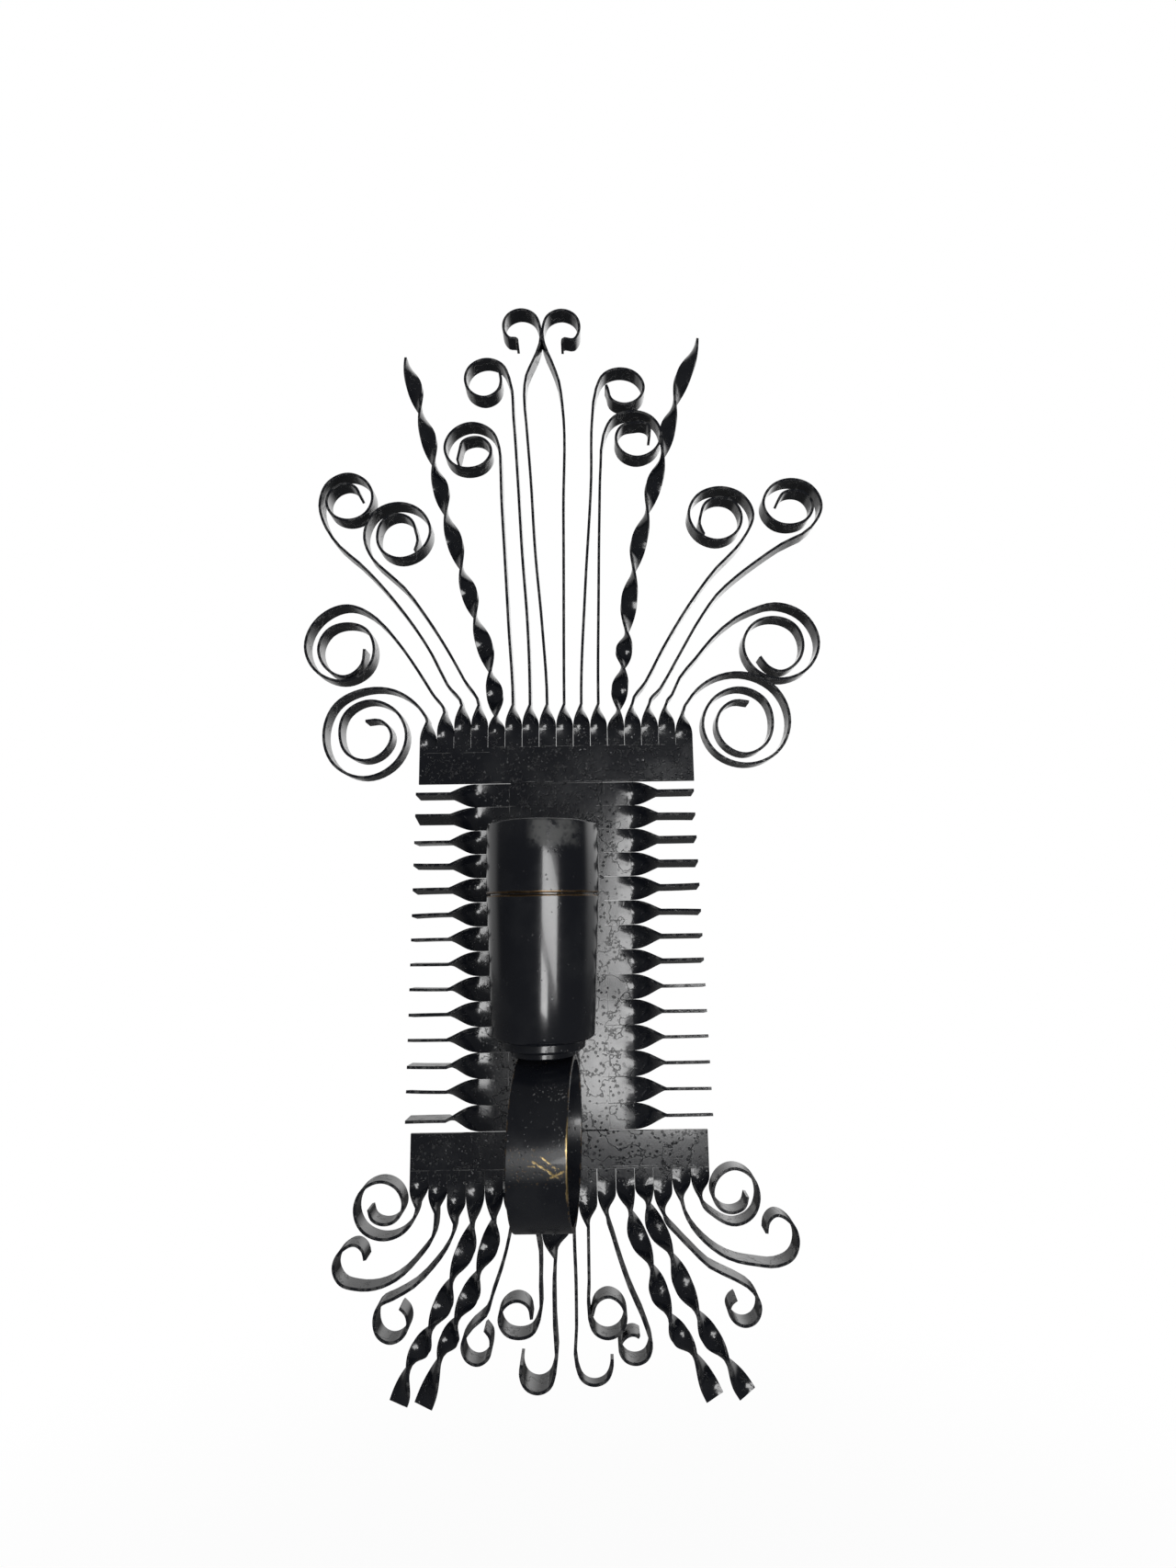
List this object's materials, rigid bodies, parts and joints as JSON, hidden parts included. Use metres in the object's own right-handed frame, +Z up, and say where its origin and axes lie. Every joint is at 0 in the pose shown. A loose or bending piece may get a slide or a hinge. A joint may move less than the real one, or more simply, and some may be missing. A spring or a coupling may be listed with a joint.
{
  "type": "torch wall sconce",
  "caption": "Wall sconce shaped like a torch: black sheet cut into curled and twisted strips behind a screw lampholder that stands on a hoop.",
  "frame": {"origin": "on the wall, midway between the two screw holes of the wall strap", "axes": "+Z up along the lampholder's axis, the front faces -Y, +X to the right from the front"},
  "size_m": [0.2352, 0.0702, 0.4738],
  "materials": {
    "black_steel": "semi-gloss black over pitted steel",
    "black_brass": "semi-gloss black, worn to brass on edges",
    "bare_brass": "satin",
    "zinc_steel": "zinc plated",
    "porcelain": "glazed",
    "rubber": "matt",
    "bush_plastic": "matt"
  },
  "bodies": {
    "fixture": {"crown_plate": "black_steel", "base_plate": "black_steel", "spine_plate": "black_steel", "hoop": "black_brass", "hoop_packing": "black_brass", "hoop_screw": "zinc_steel", "hoop_nut": "zinc_steel", "cable_grommet": "rubber", "wall_strap": "black_steel", "standoff_sleeves": "zinc_steel", "fixing_screws": "zinc_steel", "earth_washer": "bare_brass", "earth_screw": "bare_brass", "nipple_tube": "bare_brass", "nipple_washer": "bare_brass", "nipple_nut": "bare_brass", "nipple_bush": "bush_plastic", "collar_nut": "black_brass", "neck_ring": "black_brass", "holder_cup": "black_brass", "grub_screw": "zinc_steel", "ceramic_body": "porcelain", "screw_shell": "bare_brass", "contact_foot": "bare_brass", "contact_screws": "bare_brass", "terminal_blocks": "bare_brass", "terminal_screws": "bare_brass"},
    "ring": {"insulating_ring": "porcelain"},
    "sleeve": {"holder_sleeve": "black_brass"},
    "tongue": {"contact_tongue": "bare_brass"}
  },
  "joints": [
    {"name": "sleeve_lift", "type": "slide", "parent": "fixture", "child": "ring", "axis": [0, 0, 1], "range_m": [0, 0.0051]},
    {"name": "sleeve_turn", "type": "hinge", "parent": "ring", "child": "sleeve", "pos_m": [-0.0042, -0.0407, 0.05], "axis": [0, 0, 1], "range_deg": [0, 900]},
    {"name": "contact_press", "type": "hinge", "parent": "fixture", "child": "tongue", "pos_m": [0.0006, -0.0407, 0.02025], "axis": [0, 1, 0], "range_deg": [-9, 0], "stiffness_Nm_per_rad": 0.2}
  ],
  "couplings": [
    {"joint": "sleeve_lift", "follows": "sleeve_turn", "m_per_rad": 0.00031831}
  ]
}
